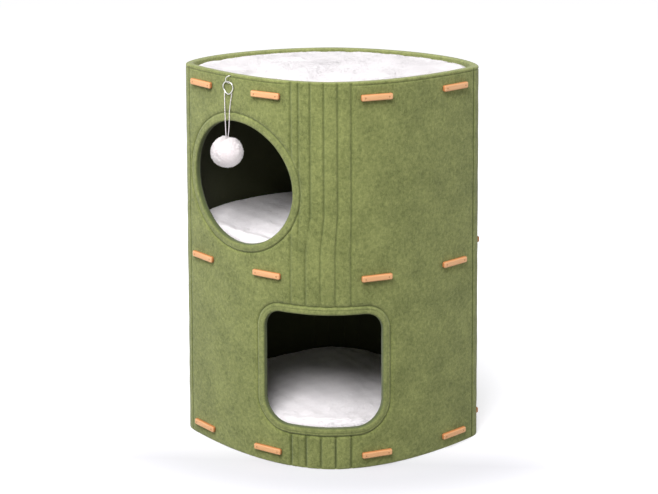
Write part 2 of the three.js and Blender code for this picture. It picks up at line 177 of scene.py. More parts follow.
def makeCamera():
    data = bpy.data.cameras.new("photo_camera")
    data.lens, data.sensor_width, data.shift_y = camera["lens"], 36, camera["shiftUp"]
    data.clip_start, data.clip_end = 0.05, 100
    eye = bpy.data.objects.new("photo_camera", data)
    scene.collection.objects.link(eye)
    pitch, roll = math.radians(camera["pitch"]), math.radians(camera["roll"])
    forward = Vector((0, math.cos(pitch), -math.sin(pitch)))
    up, right = Vector((0, math.sin(pitch), math.cos(pitch))), Vector((1, 0, 0))
    right, up = (math.cos(roll) * right + math.sin(roll) * up,
                 math.cos(roll) * up - math.sin(roll) * right)
    axes = Matrix((right, up, -forward)).transposed().to_4x4()
    turn = Matrix.Rotation(math.radians(camera["turn"]), 4, "Z")
    eye.matrix_world = Matrix.Translation(camera["place"]) @ turn @ axes
    scene.camera = eye


makeCamera()
print("camera set")


# Node materials
def feed(material, socket, value):  # links another node, or sets a plain value
    if isinstance(value, bpy.types.NodeSocket):
        material.node_tree.links.new(value, socket)
    else:
        socket.default_value = (*value, 1) if isinstance(value, tuple) and socket.type == "RGBA" else value


def addNode(material, kind, values=None, **settings):
    node = material.node_tree.nodes.new(kind)
    for name, value in settings.items():
        setattr(node, name, value)
    for socket, value in (values or {}).items():
        feed(material, node.inputs[socket], value)
    return node


def startMaterial(name, roughness, **sockets):
    material = bpy.data.materials.new(name)
    material.use_nodes = True
    shader = material.node_tree.nodes["Principled BSDF"]
    shader.inputs["Roughness"].default_value = roughness
    for socket, value in sockets.items():
        shader.inputs[socket.replace("_", " ")].default_value = value
    return material, shader


def objectPlace(material):
    return addNode(material, "ShaderNodeTexCoord").outputs["Object"]


def ranged(material, value, low, high, start=0.0, end=1.0, **settings):
    return addNode(material, "ShaderNodeMapRange", {
        "Value": value, "From Min": low, "From Max": high, "To Min": start, "To Max": end,
    }, **settings).outputs["Result"]


def spots(material, where, scale, detail=2, roughness=0.5, low=0.0, high=1.0, distortion=0.0):
    noise = addNode(material, "ShaderNodeTexNoise", {
        "Vector": where, "Scale": scale, "Detail": detail, "Roughness": roughness,
        "Distortion": distortion,
    }).outputs["Fac"]
    return noise if (low, high) == (0.0, 1.0) else ranged(material, noise, low, high)


def blend(material, share, first, second):
    node = addNode(material, "ShaderNodeMix", {0: share, 6: first, 7: second}, data_type="RGBA")
    return node.outputs[2]


def reckon(material, operation, first, second=0.0):
    return addNode(material, "ShaderNodeMath", {0: first, 1: second}, operation=operation).outputs[0]


def overlay(material, colour, mark, share, paint):
    return blend(material, reckon(material, "MULTIPLY", mark, share), colour, paint)


def weighted(material, *parts):  # a sum of marks, each times its share
    total = None
    for mark, share in parts:
        part = reckon(material, "MULTIPLY", mark, share)
        total = part if total is None else reckon(material, "ADD", total, part)
    return total


def streaks(material, where, turn, fine, long, low, high):  # thin strokes that run one way
    mapped = addNode(material, "ShaderNodeMapping", {
        "Vector": where, "Rotation": turn, "Scale": (fine, fine, long),
    }).outputs["Vector"]
    return spots(material, mapped, 1, 1, 0.5, low, high)


def finish(material, shader, colour, height=None, strength=0.3, distance=0.001):
    feed(material, shader.inputs["Base Color"], colour)
    if height is not None:
        bump = addNode(material, "ShaderNodeBump", {
            "Height": height, "Strength": strength, "Distance": distance,
        })
        feed(material, shader.inputs["Normal"], bump.outputs["Normal"])
    return material


feltLook = {
    "dark": (0.085, 0.106, 0.024),
    "light": (0.328, 0.357, 0.118),
    "fibre": (0.410, 0.430, 0.170),
    # painted shade colour for the pressed lines, the stitching and the seams
    "line": (0.075, 0.100, 0.022),
    # the pale colour of the raised border bands round the openings; on the rim and hem it is a painted
    # sheen
    "band": (0.360, 0.385, 0.205),
    # painted shade colour for the cut edges of the openings and their rounded edges
    "tunnelShade": (0.070, 0.092, 0.032),
    # painted shade colour for the inner face down in the rooms
    "room": (0.032, 0.034, 0.012),
    "shares": {"fibre": 0.32, "band": 0.28, "line": 0.5, "tunnelShade": 0.85, "room": 0.93},
    "cloudScale": 26,
    "blotchScale": 210,
    "grainScale": 1100,
    "mottle": (0.28, 0.52, 0.40),
    "mottleLess": 0.10,
    "fibreTurns": ((0.3, 0.5, 0), (1.3, -0.4, 0.6), (0.8, 1.2, 1.9)),
    "fibreSize": (1500, 130),
}


def makeFelt(name, paintedLightShare=0.0):
    look = feltLook
    material, shader = startMaterial(name, 0.92, Sheen_Weight=0.18, Sheen_Roughness=0.55,
                                     Specular_IOR_Level=0.2)
    where = objectPlace(material)
    marks = addNode(material, "ShaderNodeAttribute", attribute_name="marks")
    # the three marks: painted shade in the grooves, painted shade through the openings and in the rooms,
    # and the pale band
    grooveShade, inside, band = addNode(
        material, "ShaderNodeSeparateColor", {"Color": marks.outputs["Color"]}).outputs
    clouds = spots(material, where, look["cloudScale"], 3, 0.5, 0.3, 0.7)
    blotches = spots(material, where, look["blotchScale"], 3, 0.6, 0.3, 0.7, 0.6)
    grain = spots(material, where, look["grainScale"], 3, 0.7, 0.25, 0.75)
    mottle = weighted(material, *zip((clouds, blotches, grain), look["mottle"]))
    mottle = reckon(material, "SUBTRACT", mottle, look["mottleLess"])
    colour = blend(material, mottle, look["dark"], look["light"])
    fibres = 0.0
    for turn in look["fibreTurns"]:
        stroke = streaks(material, where, turn, *look["fibreSize"], 0.62, 0.74)
        fibres = reckon(material, "MAXIMUM", fibres, stroke)
    colour = overlay(material, colour, fibres, look["shares"]["fibre"], look["fibre"])
    # a paler copy of the felt, blended all over toward the pale band colour: painted light
    if paintedLightShare:
        colour = blend(material, paintedLightShare, colour, look["band"])
    # painted shade through the openings and on their edges, and also on the inner face
    tunnelShade = reckon(material, "MULTIPLY", inside, 2)
    tunnelShade = addNode(material, "ShaderNodeClamp", {"Value": tunnelShade}).outputs[0]
    # painted shade on the inner face in the rooms
    room = ranged(material, inside, 0.5, 1.0)
    for paint, mark in (("band", band), ("line", grooveShade), ("tunnelShade", tunnelShade), ("room", room)):
        colour = overlay(material, colour, mark, look["shares"][paint], look[paint])
    height = weighted(material, (grain, 1), (fibres, 0.8), (blotches, 1))
    return finish(material, shader, colour, height, 0.35, 0.0007)


plushLook = {
    "light": (0.87, 0.832, 0.852),
    "shade": (0.83, 0.788, 0.808),
    "clumpScale": 120,
    "hairTurn": (1.5, 0.2, 0.7),
    "hairSize": (1600, 160),
}


def makePlush(name, shade=0.5, relief=0.3):
    look = plushLook
    material, shader = startMaterial(name, 0.95, Sheen_Weight=0.3, Sheen_Roughness=0.5,
                                     Specular_IOR_Level=0.15)
    where = objectPlace(material)
    clumps = spots(material, where, look["clumpScale"], 3, 0.55, 0.3, 0.7, 0.8)
    hairs = streaks(material, where, look["hairTurn"], *look["hairSize"], 0.35, 0.65)
    share = weighted(material, (clumps, shade * 0.6), (hairs, shade * 0.4))
    colour = blend(material, share, look["light"], look["shade"])
    height = weighted(material, (clumps, 1), (hairs, 0.5))
    return finish(material, shader, colour, height, relief, 0.0015)


woodLook = {
    "light": (0.84, 0.49, 0.25),
    "dark": (0.72, 0.33, 0.13),
    "side": (0.50, 0.17, 0.05),
    "peg": (0.28, 0.10, 0.035),
    "grain": (30, 900, 900),
}


def makeWood():
    look = woodLook
    material, shader = startMaterial("light_wood", 0.45, Specular_IOR_Level=0.4,
                                     Coat_Weight=0.15, Coat_Roughness=0.4)
    where = addNode(material, "ShaderNodeAttribute", attribute_name="grain").outputs["Vector"]
    mapped = addNode(material, "ShaderNodeMapping", {
        "Vector": where, "Scale": look["grain"]}).outputs["Vector"]
    rings = spots(material, mapped, 1, 3, 0.6, 0.3, 0.7, 1.2)
    fine = streaks(material, where, (0, math.pi / 2, 0), 4500, 90, 0.4, 0.7)
    share = weighted(material, (rings, 0.75), (fine, 0.3))
    colour = blend(material, share, look["light"], look["dark"])
    marks = addNode(material, "ShaderNodeAttribute", attribute_name="marks").outputs["Fac"]
    colour = overlay(material, colour, marks, 0.9, look["side"])
    return finish(material, shader, colour, fine, 0.12, 0.0002)


def makePeg():
    material, shader = startMaterial("peg_end", 0.5)
    where = objectPlace(material)
    share = spots(material, where, 2500, 2, 0.5, 0.3, 0.7)
    colour = blend(material, share, woodLook["peg"], woodLook["dark"])
    return finish(material, shader, colour, share, 0.2, 0.0002)


yarnLook = {"light": (0.70, 0.655, 0.66), "shade": (0.59, 0.525, 0.55)}


def makeYarn(name, scatter):  # light scatters deep in a fluffy ball and hardly in a thin strand
    material, shader = startMaterial(name, 0.9, Sheen_Weight=0.35, Sheen_Roughness=0.5,
                                     Specular_IOR_Level=0.2, Subsurface_Weight=scatter,
                                     Subsurface_Radius=(1, 0.95, 0.95), Subsurface_Scale=0.012)
    where = objectPlace(material)
    tint = spots(material, where, 170, 3, 0.6, 0.35, 0.7)
    hairs = spots(material, where, 2600, 2, 0.6, 0.3, 0.7)
    share = weighted(material, (tint, 0.55), (hairs, 0.25))
    colour = blend(material, share, yarnLook["light"], yarnLook["shade"])
    return finish(material, shader, colour, hairs, 0.3, 0.0004)


steelLook = {"bright": (0.74, 0.73, 0.70), "worn": (0.52, 0.51, 0.48), "roughness": (0.28, 0.50)}


def makeSteel():
    material, shader = startMaterial("bright_wire", 0.28, Metallic=1.0)
    worn = spots(material, objectPlace(material), 700, 3, 0.6, 0.35, 0.7)
    colour = blend(material, worn, steelLook["bright"], steelLook["worn"])
    feed(material, shader.inputs["Roughness"], ranged(material, worn, 0, 1, *steelLook["roughness"]))
    return finish(material, shader, colour, worn, 0.08, 0.0002)


floorLook = {
    "light": (0.665, 0.660, 0.700),
    "shade": (0.640, 0.635, 0.675),
    "glow": 0.70,
    # close to the house the glow stays slight in front and rises beside and behind it: painted light over
    # the house's shadow there
    "glowClose": (0.04, 0.55),
    "closeY": (-0.12, 0.02),
    "reach": (0.03, 0.25),
    "ellipse": (1.62, 0.145),
}


def makeFloorLook():  # the floor glows like a lit backdrop, and hardly at all close to the house
    look = floorLook
    material, shader = startMaterial("pale_floor", 0.9, Specular_IOR_Level=0.1,
                                     Emission_Color=(1, 1, 1, 1))
    where = objectPlace(material)
    x, y, _ = addNode(material, "ShaderNodeSeparateXYZ", {"Vector": where}).outputs
    x = reckon(material, "DIVIDE", x, look["ellipse"][0])
    far = weighted(material, (x, x), (y, y))
    far = reckon(material, "SUBTRACT", reckon(material, "SQRT", far), look["ellipse"][1])
    # painted light: close to the house the floor glows more beside and behind it, washing out the house's
    # shadow
    close = ranged(material, y, *look["closeY"], *look["glowClose"])
    glow = ranged(material, far, *look["reach"], close, look["glow"], interpolation_type="SMOOTHSTEP")
    feed(material, shader.inputs["Emission Strength"], glow)
    share = spots(material, where, 3, 2, 0.5)
    return finish(material, shader, blend(material, share, look["light"], look["shade"]))


frontFeltLook = makeFelt("green_felt")
# the back panel's felt is a paler copy of the front felt: painted light
backFeltLook = makeFelt("green_felt_back_painted_lighter", 0.12)
plush = makePlush("white_plush")
plushes = {"bottom": plush, "middle": plush, "top": makePlush("smooth_white_plush", 0.1, 0.1)}
wood, peg, steel = makeWood(), makePeg(), makeSteel()
yarn, fluffyYarn = makeYarn("white_yarn", 0), makeYarn("fluffy_yarn", 0.7)
print("materials made")


# Helpers for pieces
def makePiece(name, points, faces, looks, marks=None, grain=None, faceLooks=None):
    mesh = bpy.data.meshes.new(name)
    mesh.from_pydata(np.asarray(points).tolist(), [], [list(f) for f in faces])
    for look in looks if isinstance(looks, list) else [looks]:
        mesh.materials.append(look)
    if marks is not None:
        layer = mesh.attributes.new("marks", "FLOAT_COLOR", "POINT")
        layer.data.foreach_set("color", np.asarray(marks, np.float32).ravel())
    if grain is not None:
        layer = mesh.attributes.new("grain", "FLOAT_VECTOR", "POINT")
        layer.data.foreach_set("vector", np.asarray(grain, np.float32).ravel())
    if faceLooks is not None:
        mesh.polygons.foreach_set("material_index", faceLooks)
    mesh.update()
    mesh.shade_smooth()
    piece = bpy.data.objects.new(name, mesh)
    scene.collection.objects.link(piece)
    return piece


def lendNormals(piece, normals):  # fine strands take the light as the surface under them does
    piece.data.normals_split_custom_set_from_vertices(unit(normals).tolist())


def turnFacesOut(piece, merge=0):
    work = bmesh.new()
    work.from_mesh(piece.data)
    if merge:
        bmesh.ops.remove_doubles(work, verts=work.verts, dist=merge)
    bmesh.ops.recalc_face_normals(work, faces=work.faces)
    work.to_mesh(piece.data)
    work.free()


def settle(piece, slot, *nodes):
    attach(piece, "root")
    if nodes:
        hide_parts(*nodes)
    return piece


def smoothStep(low, high, value):
    t = np.clip((np.asarray(value, float) - low) / (high - low), 0, 1)
    return t * t * (3 - 2 * t)


def hump(away, wide):  # a round hump, 1 in its middle
    return np.exp(-((away / wide) ** 2))


def waves(x, y, pitches, seed):  # smooth unevenness, about -1 to 1
    chance = np.random.default_rng(seed)
    total = 0
    for pitch in pitches:
        for _ in range(4):
            angle, phase = chance.uniform(0, 2 * math.pi, 2)
            rate = 2 * math.pi / (pitch * chance.uniform(0.75, 1.3))
            total = total + np.sin((x * math.cos(angle) + y * math.sin(angle)) * rate + phase)
    return total / (2.2 * len(pitches))


def tubeFaces(rows, sides, start=0, closed=False, capped=True):  # joins rings of points in order
    faces = []
    for k in range(rows - (not closed)):
        low, high = start + k * sides, start + (k + 1) % rows * sides
        for i in range(sides):
            j = (i + 1) % sides
            faces.append((low + i, low + j, high + j, high + i))
    if capped and not closed:
        last = start + (rows - 1) * sides
        faces += [tuple(range(start, start + sides))[::-1], tuple(range(last, last + sides))]
    return faces


def sweep(path, radius, sides, closed=False, lobes=0, lobeDepth=0.0, turns=0.0):
    path = np.asarray(path, float)
    tangents = np.roll(path, -1, 0) - np.roll(path, 1, 0) if closed else np.gradient(path, axis=0)
    side = np.cross(tangents[0], [0.3, 0.5, 0.81])
    points = []
    angles = np.arange(sides) * 2 * math.pi / sides
    reach = radius * (1 - lobeDepth * (0.5 + 0.5 * np.cos(lobes * angles))) if lobes else radius
    for i, (centre, tangent) in enumerate(zip(path, tangents)):
        tangent = tangent / np.linalg.norm(tangent)
        side = side - tangent * (side @ tangent)
        side /= np.linalg.norm(side)
        other = np.cross(tangent, side)
        spun = angles + 2 * math.pi * turns * i / len(path)
        ring = np.outer(np.cos(spun) * reach, side) + np.outer(np.sin(spun) * reach, other)
        points.extend(centre + ring)
    return np.array(points), tubeFaces(len(path), sides, closed=closed)


def spikes(ring, tip):  # thin three-sided spikes, from three points at the root to a tip
    points = np.stack([*ring, tip], axis=1).reshape(-1, 3)
    pattern = np.array([(0, 1, 3), (1, 2, 3), (2, 0, 3), (2, 1, 0)])
    return points, (4 * np.arange(len(tip))[:, None, None] + pattern).reshape(-1, 3).tolist()


def smoothRoute(points, count):  # a curve through the points, evenly spaced
    points = np.array(points, float)
    ends = np.vstack([2 * points[0] - points[1], points, 2 * points[-1] - points[-2]])
    t = np.linspace(0, 1, 24, endpoint=False)[:, None]
    line = []
    for a, b, c, d in zip(ends, ends[1:], ends[2:], ends[3:]):
        line.append(0.5 * (2 * b + (c - a) * t + (2 * a - 5 * b + 4 * c - d) * t**2
                           + (3 * b - a - 3 * c + d) * t**3))
    line = np.vstack([*line, points[-1:]])
    lengths = runLengths(line)
    return sampled(line, lengths, np.linspace(0, lengths[-1], count)), lengths[-1]


# Hanging loop, ring, string and pompom. Places are in millimetres from the ring's middle:
# along the wall, up, and out from the wall.
hanging = {
    "along": house["middleShift"] - 160.6,
    "loopZ": 591.6,
    "loopRadius": 5.4,
    "loopReach": 6.4,
    "loopTurn": 45,
    "loopShift": 3,
    "loopLeg": 0.8,
    "loopWire": 0.7,
    "ringZ": 579.8,
    "ringOut": 2.1,
    "ringRadius": 8.7,
    "ringWiden": 1.16,
    "ringNarrow": 0.2,
    "ringPoint": 1.6,
    "ringWire": 0.9,
    "stringRadius": 0.8,
    "stringTwist": 15,
    "left": [(-7.5, -8.3, 0), (-7.2, -23, 0.6), (-6.3, -46, 1.2), (-4.6, -76, 1.9)],
    "right": [(7.6, -8.3, 0), (5, -21, 0.5), (2.9, -35, 0.9), (1.7, -59, 1.5), (-0.6, -76.1, 1.9)],
    "pompom": (-3.1, -98.5, 2.1),
}
yarnBall = {
    "radius": 23.9,
    "wide": 1.03,
    "high": 0.97,
    "ends": 3800,
    "endWide": 0.75,
    "endRise": 1.6,
    "clumps": 260,
    "clumpWide": 2.6,
    "clumpRise": 1.2,
    "cleft": 0.15,
    "tied": 0.04,
    "lumps": 0.012,
    "strays": 2600,
    "strayWide": 0.35,
}


def fromRing(places):
    return placeOnWall(places, frontLine, hanging["along"], hanging["ringZ"], hanging["ringOut"])


def ringCurve(angle):
    down = np.maximum(0, -np.sin(angle))
    x = hanging["ringRadius"] * hanging["ringWiden"] * np.cos(angle) * (1 - hanging["ringNarrow"] * down**2)
    y = hanging["ringRadius"] * np.sin(angle) - hanging["ringPoint"] * down**3
    return np.column_stack([x, y, 0 * x])


def ballReach(aim):  # how far the clipped yarn stands out each way: a cleft on top, a dent round the tie
    notch = hump(aim[:, 0], 0.15) - 0.4 * hump(np.abs(aim[:, 0]) - 0.36, 0.14)
    cleft = yarnBall["cleft"] * notch * hump(aim[:, 2], 0.8) * smoothStep(0.2, 0.7, aim[:, 1])
    tied = yarnBall["tied"] * hump(aim[:, 0], 0.10)
    lumps = yarnBall["lumps"] * waves(aim[:, 0], aim[:, 1] + 0.7 * aim[:, 2], [0.9, 0.5], 3)
    return yarnBall["radius"] * (1 - cleft - tied + lumps)


def spreadWays(count, stray, chance):  # directions spread evenly over a ball
    k = np.arange(count) + 0.5
    lift, turn = 1 - 2 * k / count, math.pi * (1 + 5**0.5) * k
    flat = np.sqrt(1 - lift**2)
    ways = np.column_stack([flat * np.cos(turn), lift, flat * np.sin(turn)])
    return unit(ways + chance.normal(0, stray, (count, 3)))


def rises(ways, peaks, wide, chance):  # how high the nearest tuft stands at each direction, 0 to 1
    tree = KDTree(len(peaks))
    for n, peak in enumerate(peaks):
        tree.insert(peak, n)
    tree.balance()
    found = [tree.find(way) for way in ways]
    away = np.array([distance for _, _, distance in found]) * yarnBall["radius"]
    return chance.uniform(0.3, 1, len(peaks))[[n for _, n, _ in found]] * hump(away, wide)


def makePompom():
    chance = np.random.default_rng(5)
    aim = spreadWays(yarnBall["ends"], 0.012, chance)
    work = bmesh.new()
    bmesh.ops.create_icosphere(work, subdivisions=7, radius=1)
    ways = unit(np.array([v.co for v in work.verts]))
    faces = [tuple(v.index for v in f.verts) for f in work.faces]
    work.free()
    tufts = rises(ways, aim, yarnBall["endWide"], chance)
    clumps = rises(ways, spreadWays(yarnBall["clumps"], 0.05, chance), yarnBall["clumpWide"], chance)
    relief = yarnBall["endRise"] * (tufts - 0.5) + yarnBall["clumpRise"] * (clumps - 0.6)
    points = ways * (ballReach(ways) + relief)[:, None]
    size = [yarnBall["wide"], yarnBall["high"], yarnBall["wide"]]
    ball = makePiece("pompom_yarn", fromRing(points * size + hanging["pompom"]), faces, fluffyYarn)
    picked = chance.choice(len(aim), yarnBall["strays"], replace=False)
    ways = aim[picked]
    reach = ballReach(ways)
    side = unit(np.cross(ways, [0.2, 0.9, 0.4]))
    other = np.cross(ways, side)
    lean = chance.normal(0, 0.4, (len(picked), 3))
    tip = ways * (reach + chance.uniform(0.3, 1, len(picked)))[:, None] + lean
    base = ways * (reach - 2)[:, None]
    wide = yarnBall["strayWide"]
    ring = [base + wide * (side * math.cos(a) + other * math.sin(a)) for a in (0, 2.1, 4.2)]
    points, faces = spikes(ring, tip)
    fuzz = makePiece("pompom_stray_yarn", fromRing(points * size + hanging["pompom"]), faces, yarn)
    lendNormals(fuzz, np.repeat(fromRing(ways) - fromRing(np.zeros((1, 3))), 4, axis=0))
    settle(fuzz, "yarn")
    return ball


def makeHanging():
    sides = np.linspace(-math.pi / 2, math.pi / 2, 22)
    turn, radius, shift = math.radians(hanging["loopTurn"]), hanging["loopRadius"], hanging["loopShift"]
    out = hanging["loopReach"] * np.cos(sides)
    bend = np.column_stack([shift - out * math.sin(turn), radius * np.sin(sides),
                            hanging["loopLeg"] + out * math.cos(turn)])
    route = np.vstack([[(shift, -radius, -1.5)], bend, [(shift, radius, -1.5)]])
    route = placeOnWall(route, frontLine, hanging["along"], hanging["loopZ"], 0)
    loop = makePiece("hanging_wire_loop", *sweep(route, hanging["loopWire"] * mm, 12), steel)
    settle(loop, "steel_wire", "hanging_loop")
    route = fromRing(ringCurve(np.linspace(0, 2 * math.pi, 80, endpoint=False)))
    ring = makePiece("pear_wire_ring", *sweep(route, hanging["ringWire"] * mm, 14, closed=True), steel)
    settle(ring, "steel_wire", "pear_ring")
    ball = makePompom()
    settle(ball, "yarn", "pompom")
    for side in ("left", "right"):
        line, length = smoothRoute(fromRing(hanging[side]), 90)
        points, faces = sweep(line, hanging["stringRadius"] * mm, 12, lobes=2, lobeDepth=0.26,
                              turns=hanging["stringTwist"])
        strand = makePiece(f"string_{side}_yarn", points, faces, yarn)
        settle(strand, "yarn", f"string_{side}")
        print(side, "strand is", round(length * 1000, 1), "mm long")
    return ball


makeHanging()
print("hanging ring, strings and pompom made")

# Felt wall, in millimetres along the wall and up
feltWall = {
    "columnStep": 5.2,
    "rowStep": 5.2,
    "lineHalf": 2.4,
    "lineDepth": 1.5,
    "shoulder": 0.28,
    "rimRound": 2.5,
    "hemRound": 1.5,
    "edgeRound": 3.0,
    "seamRound": 2.4,
    "shoulderWide": 4.0,
    # foldMark, borderMark, innerMark, stitchMark and seamMark set how much painted shade darkens each line,
    # the stitching and the seam
    "foldMark": 2.6,
    "borderMark": 1.7,
    "innerIn": 5,
    "innerHalf": 0.9,
    "innerMark": 0.8,
    "stitchZ": 594.8,
    "stitchDepth": 0.75,
    "stitchHalf": 1.3,
    "stitchMark": 0.75,
    "bandRise": 0.35,
    "bandEdge": 1.2,
    "bandMark": 0.25,
    "seamMark": 1.3,
    "seamMarkWide": 1.5,
    "jog": (345, 400),
    "jogFaint": (372, 14, 0.7),
    "footFolds": (60, 250),
    "footStrength": 1.8,
    "uneven": 0.3,
    "cornerThick": 3.0,
    "cornerWide": 14,
    "shadedFrom": (572, 586),
    # how much painted shade darkens the rounded edge round each opening
    "tunnelMark": 0.42,
}
frontFolds = [  # place above and below the jog, and how strong the line is above and below it
    {"upper": upper, "lower": lower, "top": 1, "low": low}
    for upper, lower, low in ((-47.5, -49, 0.85), (-35, -36.5, 0.25), (-16.5, -25, 0.85),
                              (4.5, -1.5, 0.8), (25.5, 21.5, 0.9), (46.5, 45.5, 0.85))
]
backFolds = [{"upper": s, "lower": s, "top": 0.8, "low": 0.8} for s in (-36, -11, 14, 39)]
roundEntrance = {
    "middle": -143.9,
    "z": 435.9,
    "wide": 98.7,
    "high": 93.3,
    "lean": -1.8,
    "border": 12.8,
    "inner": 0.3,
    "points": 280,
}
doorway = {
    "middle": 0.8,
    "bottom": 66.4,
    "top": 248,
    "halfWidth": 95.5,
    "topRadius": 29,
    "bottomRadius": 42,
    "border": 12.8,
    "inner": 0.6,
    "points": 300,
}


def roundDistance(s, z):
    wide, high, lean = (roundEntrance[key] for key in ("wide", "high", "lean"))
    x, y = s - roundEntrance["middle"] - house["middleShift"], z - roundEntrance["z"]
    share = np.hypot(high * x - lean * y, wide * y - lean * x) / (wide * high - lean**2)
    return np.hypot(x, y) * (1 - 1 / np.maximum(share, 1e-6))


def roundOutline(offset):
    angle = np.linspace(0, 2 * math.pi, roundEntrance["points"], endpoint=False)
    x = (roundEntrance["wide"] + offset) * np.cos(angle) + roundEntrance["lean"] * np.sin(angle)
    y = (roundEntrance["high"] + offset) * np.sin(angle) + roundEntrance["lean"] * np.cos(angle)
    return np.column_stack([roundEntrance["middle"] + house["middleShift"] + x, roundEntrance["z"] + y])


def doorDistance(s, z):
    x = np.abs(s - doorway["middle"] - house["middleShift"])
    middle, half = (doorway["bottom"] + doorway["top"]) / 2, (doorway["top"] - doorway["bottom"]) / 2
    radius = np.where(z > middle, doorway["topRadius"], doorway["bottomRadius"])
    across, upward = x - doorway["halfWidth"] + radius, np.abs(z - middle) - half + radius
    outside = np.hypot(np.maximum(across, 0), np.maximum(upward, 0))
    return outside + np.minimum(np.maximum(across, upward), 0) - radius


def doorOutline(offset):  # each point goes straight out from the edge of the doorway
    middle = doorway["middle"] + house["middleShift"]
    corners = [
        (doorway["halfWidth"], doorway["bottom"], doorway["bottomRadius"], -0.5),
        (doorway["halfWidth"], doorway["top"], doorway["topRadius"], 0),
        (-doorway["halfWidth"], doorway["top"], doorway["topRadius"], 0.5),
        (-doorway["halfWidth"], doorway["bottom"], doorway["bottomRadius"], 1),
    ]
    edge, out = [], []
    for across, z, radius, begin in corners:
        rise = radius if z == doorway["bottom"] else -radius
        centre = np.array([across - math.copysign(radius, across), z + rise])
        for angle in np.linspace(begin, begin + 0.5, 25) * math.pi:
            aim = np.array([math.cos(angle), math.sin(angle)])
            edge.append(centre + aim * radius)
            out.append(aim)
    edge, out = np.array(edge + edge[:1]), np.array(out + out[:1])
    lengths = runLengths(edge)
    even = np.linspace(0, lengths[-1], doorway["points"], endpoint=False)
    aim = unit(sampled(out, lengths, even))
    return sampled(edge, lengths, even) + aim * offset + [middle, 0]


openings = [
    {"distance": roundDistance, "outline": roundOutline, **roundEntrance},
    {"distance": doorDistance, "outline": doorOutline, **doorway},
]


def ridge(away, half):  # 1 in the middle of a line, 0 at its edges
    return np.maximum(0, 1 - np.abs(away) / half)


def pressedLine(away):  # how far a pressed line sinks the felt near it
    return ridge(away, feltWall["lineHalf"]) + feltWall["shoulder"] * hump(away, feltWall["shoulderWide"])


def roundOver(away, radius):  # how far a rounded edge falls back, by the distance from the edge
    corner = np.clip(radius - away, 0, radius)
    return radius - np.sqrt(radius**2 - corner**2)


def foldPlace(fold, z):
    low, high = feltWall["jog"]
    return fold["lower"] + (fold["upper"] - fold["lower"]) * np.clip((z - low) / (high - low), 0, 1)


def outerDepth(s, z, half, folds, shift, holes, stitched):
    spec = feltWall
    depth = spec["uneven"] * waves(s, z, [70, 38], 21 if holes else 22)
    # the first mark is painted shade in the pressed lines, the stitching and the seam
    grooveShade, band, clear = np.zeros(len(s)), np.zeros(len(s)), np.full(len(s), 99.0)
    for hole in holes:
        clear = np.minimum(clear, hole["distance"](s, z) - hole["border"])
    free = smoothStep(-0.4, 0.8, clear)
    faintZ, faintWide, faint = spec["jogFaint"]
    for fold in folds:
        away = s - foldPlace(fold, z) - shift
        foot = spec["footStrength"]
        deeper = fold["low"] * (foot - (foot - 1) * smoothStep(*spec["footFolds"], z))
        strength = deeper + (fold["top"] - deeper) * smoothStep(*spec["jog"], z)
        if fold["upper"] - fold["lower"] > 7:  # the line that jogs most fades on its way
            strength = strength * (1 - faint * hump(z - faintZ, faintWide))
        depth += spec["lineDepth"] * (pressedLine(away) * strength * free)
        grooveShade = np.maximum(grooveShade, ridge(away, spec["foldMark"]) * strength * free)
    for hole in holes:
        away = hole["distance"](s, z)
        raised = 1 - smoothStep(hole["border"] - spec["bandEdge"], hole["border"], away)
        band = np.maximum(band, spec["bandMark"] * raised)
        depth -= spec["bandRise"] * raised
        depth += spec["lineDepth"] * pressedLine(away - hole["border"])
        inner = hole["inner"] * ridge(away - hole["border"] + spec["innerIn"], spec["innerHalf"])
        depth += inner
        grooveShade = np.maximum(grooveShade, ridge(away - hole["border"], spec["borderMark"]))
        grooveShade = np.maximum(grooveShade, spec["innerMark"] * inner)
        depth += roundOver(away, spec["edgeRound"])
    stitch = ridge(z - spec["stitchZ"], spec["stitchHalf"]) * stitched(s)
    depth += spec["stitchDepth"] * stitch
    grooveShade = np.maximum(grooveShade, spec["stitchMark"] * stitch)
    depth += roundOver(half - np.abs(s), spec["seamRound"])
    seam = smoothStep(half - spec["seamMarkWide"], half, np.abs(s))
    return depth, np.maximum(grooveShade, spec["seamMark"] * seam), band


def cornerExtra(wallLine, s):  # the felt is thicker inside each corner of the house
    middle = 8 if wallLine is backLine else -6
    return feltWall["cornerThick"] * hump(wallLine["half"] - np.abs(s) - middle, feltWall["cornerWide"])


def innerDepth(wallLine, s, z, holes, folds, shift, press):
    depth = house["wall"] + cornerExtra(wallLine, s)
    for hole in holes:
        depth -= roundOver(hole["distance"](s, z), feltWall["edgeRound"])
    for fold in folds:
        depth -= press * pressedLine(s - foldPlace(fold, z) - shift)
    return depth


